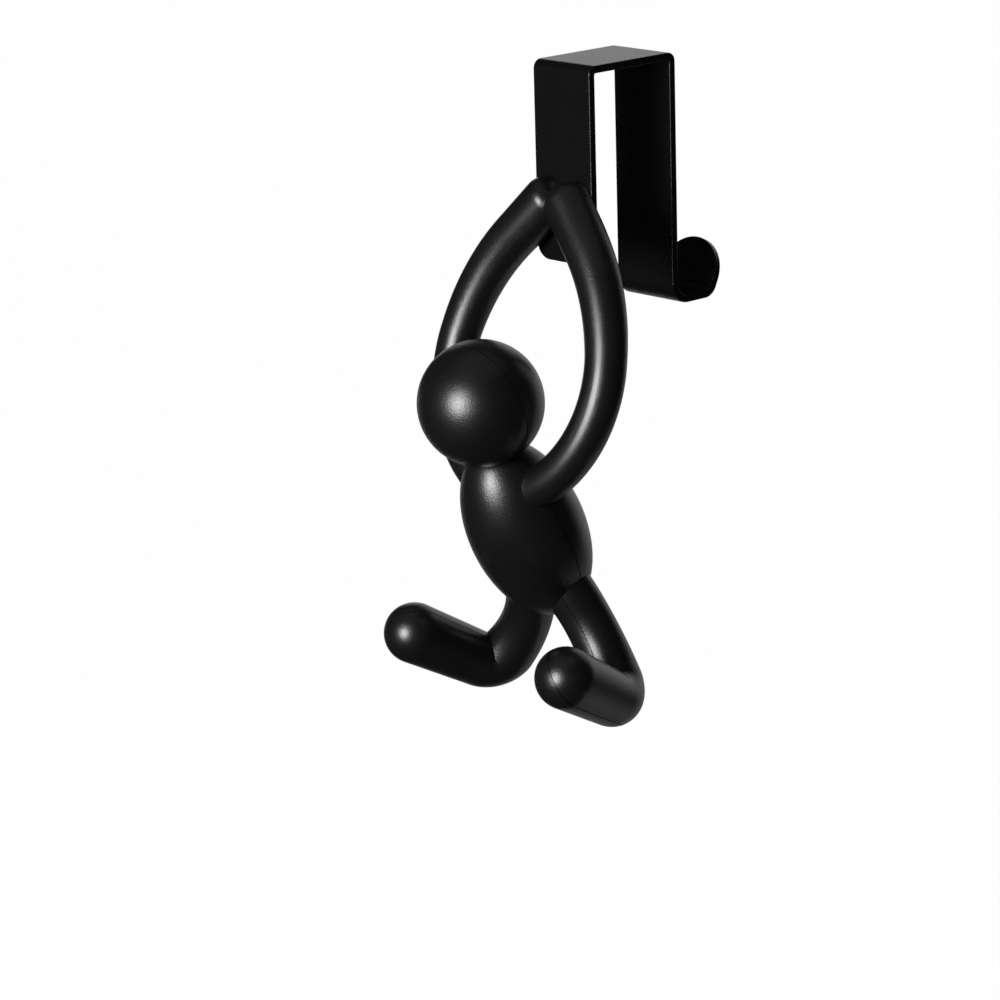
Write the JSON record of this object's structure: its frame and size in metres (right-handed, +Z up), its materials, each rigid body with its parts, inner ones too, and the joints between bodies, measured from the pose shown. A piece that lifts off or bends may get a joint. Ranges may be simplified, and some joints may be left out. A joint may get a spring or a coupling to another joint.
{
  "type": "over door hook",
  "caption": "Over door hook: folded steel strap with a hook behind the door and a plain hanging figure whose feet turn up into hooks.",
  "frame": {"origin": "middle of the underside of the strap's top run, where the strap rests on the door's top edge", "axes": "+Z up, +X along the door's top edge, to the right as seen from the room, -Y out of the door into the room"},
  "size_m": [0.0972, 0.1281, 0.2227],
  "materials": {
    "strap_powder_coat": "black satin powder coat on steel, fine orange peel",
    "figure_plastic": "black moulded plastic, satin with soft highlights",
    "screw_steel": "zinc-plated steel"
  },
  "bodies": {
    "root": {"door_strap": "strap_powder_coat", "arms": "figure_plastic", "torso": "figure_plastic", "head": "figure_plastic", "left_leg": "figure_plastic", "right_leg": "figure_plastic", "hand_screws": "screw_steel"}
  },
  "joints": []
}
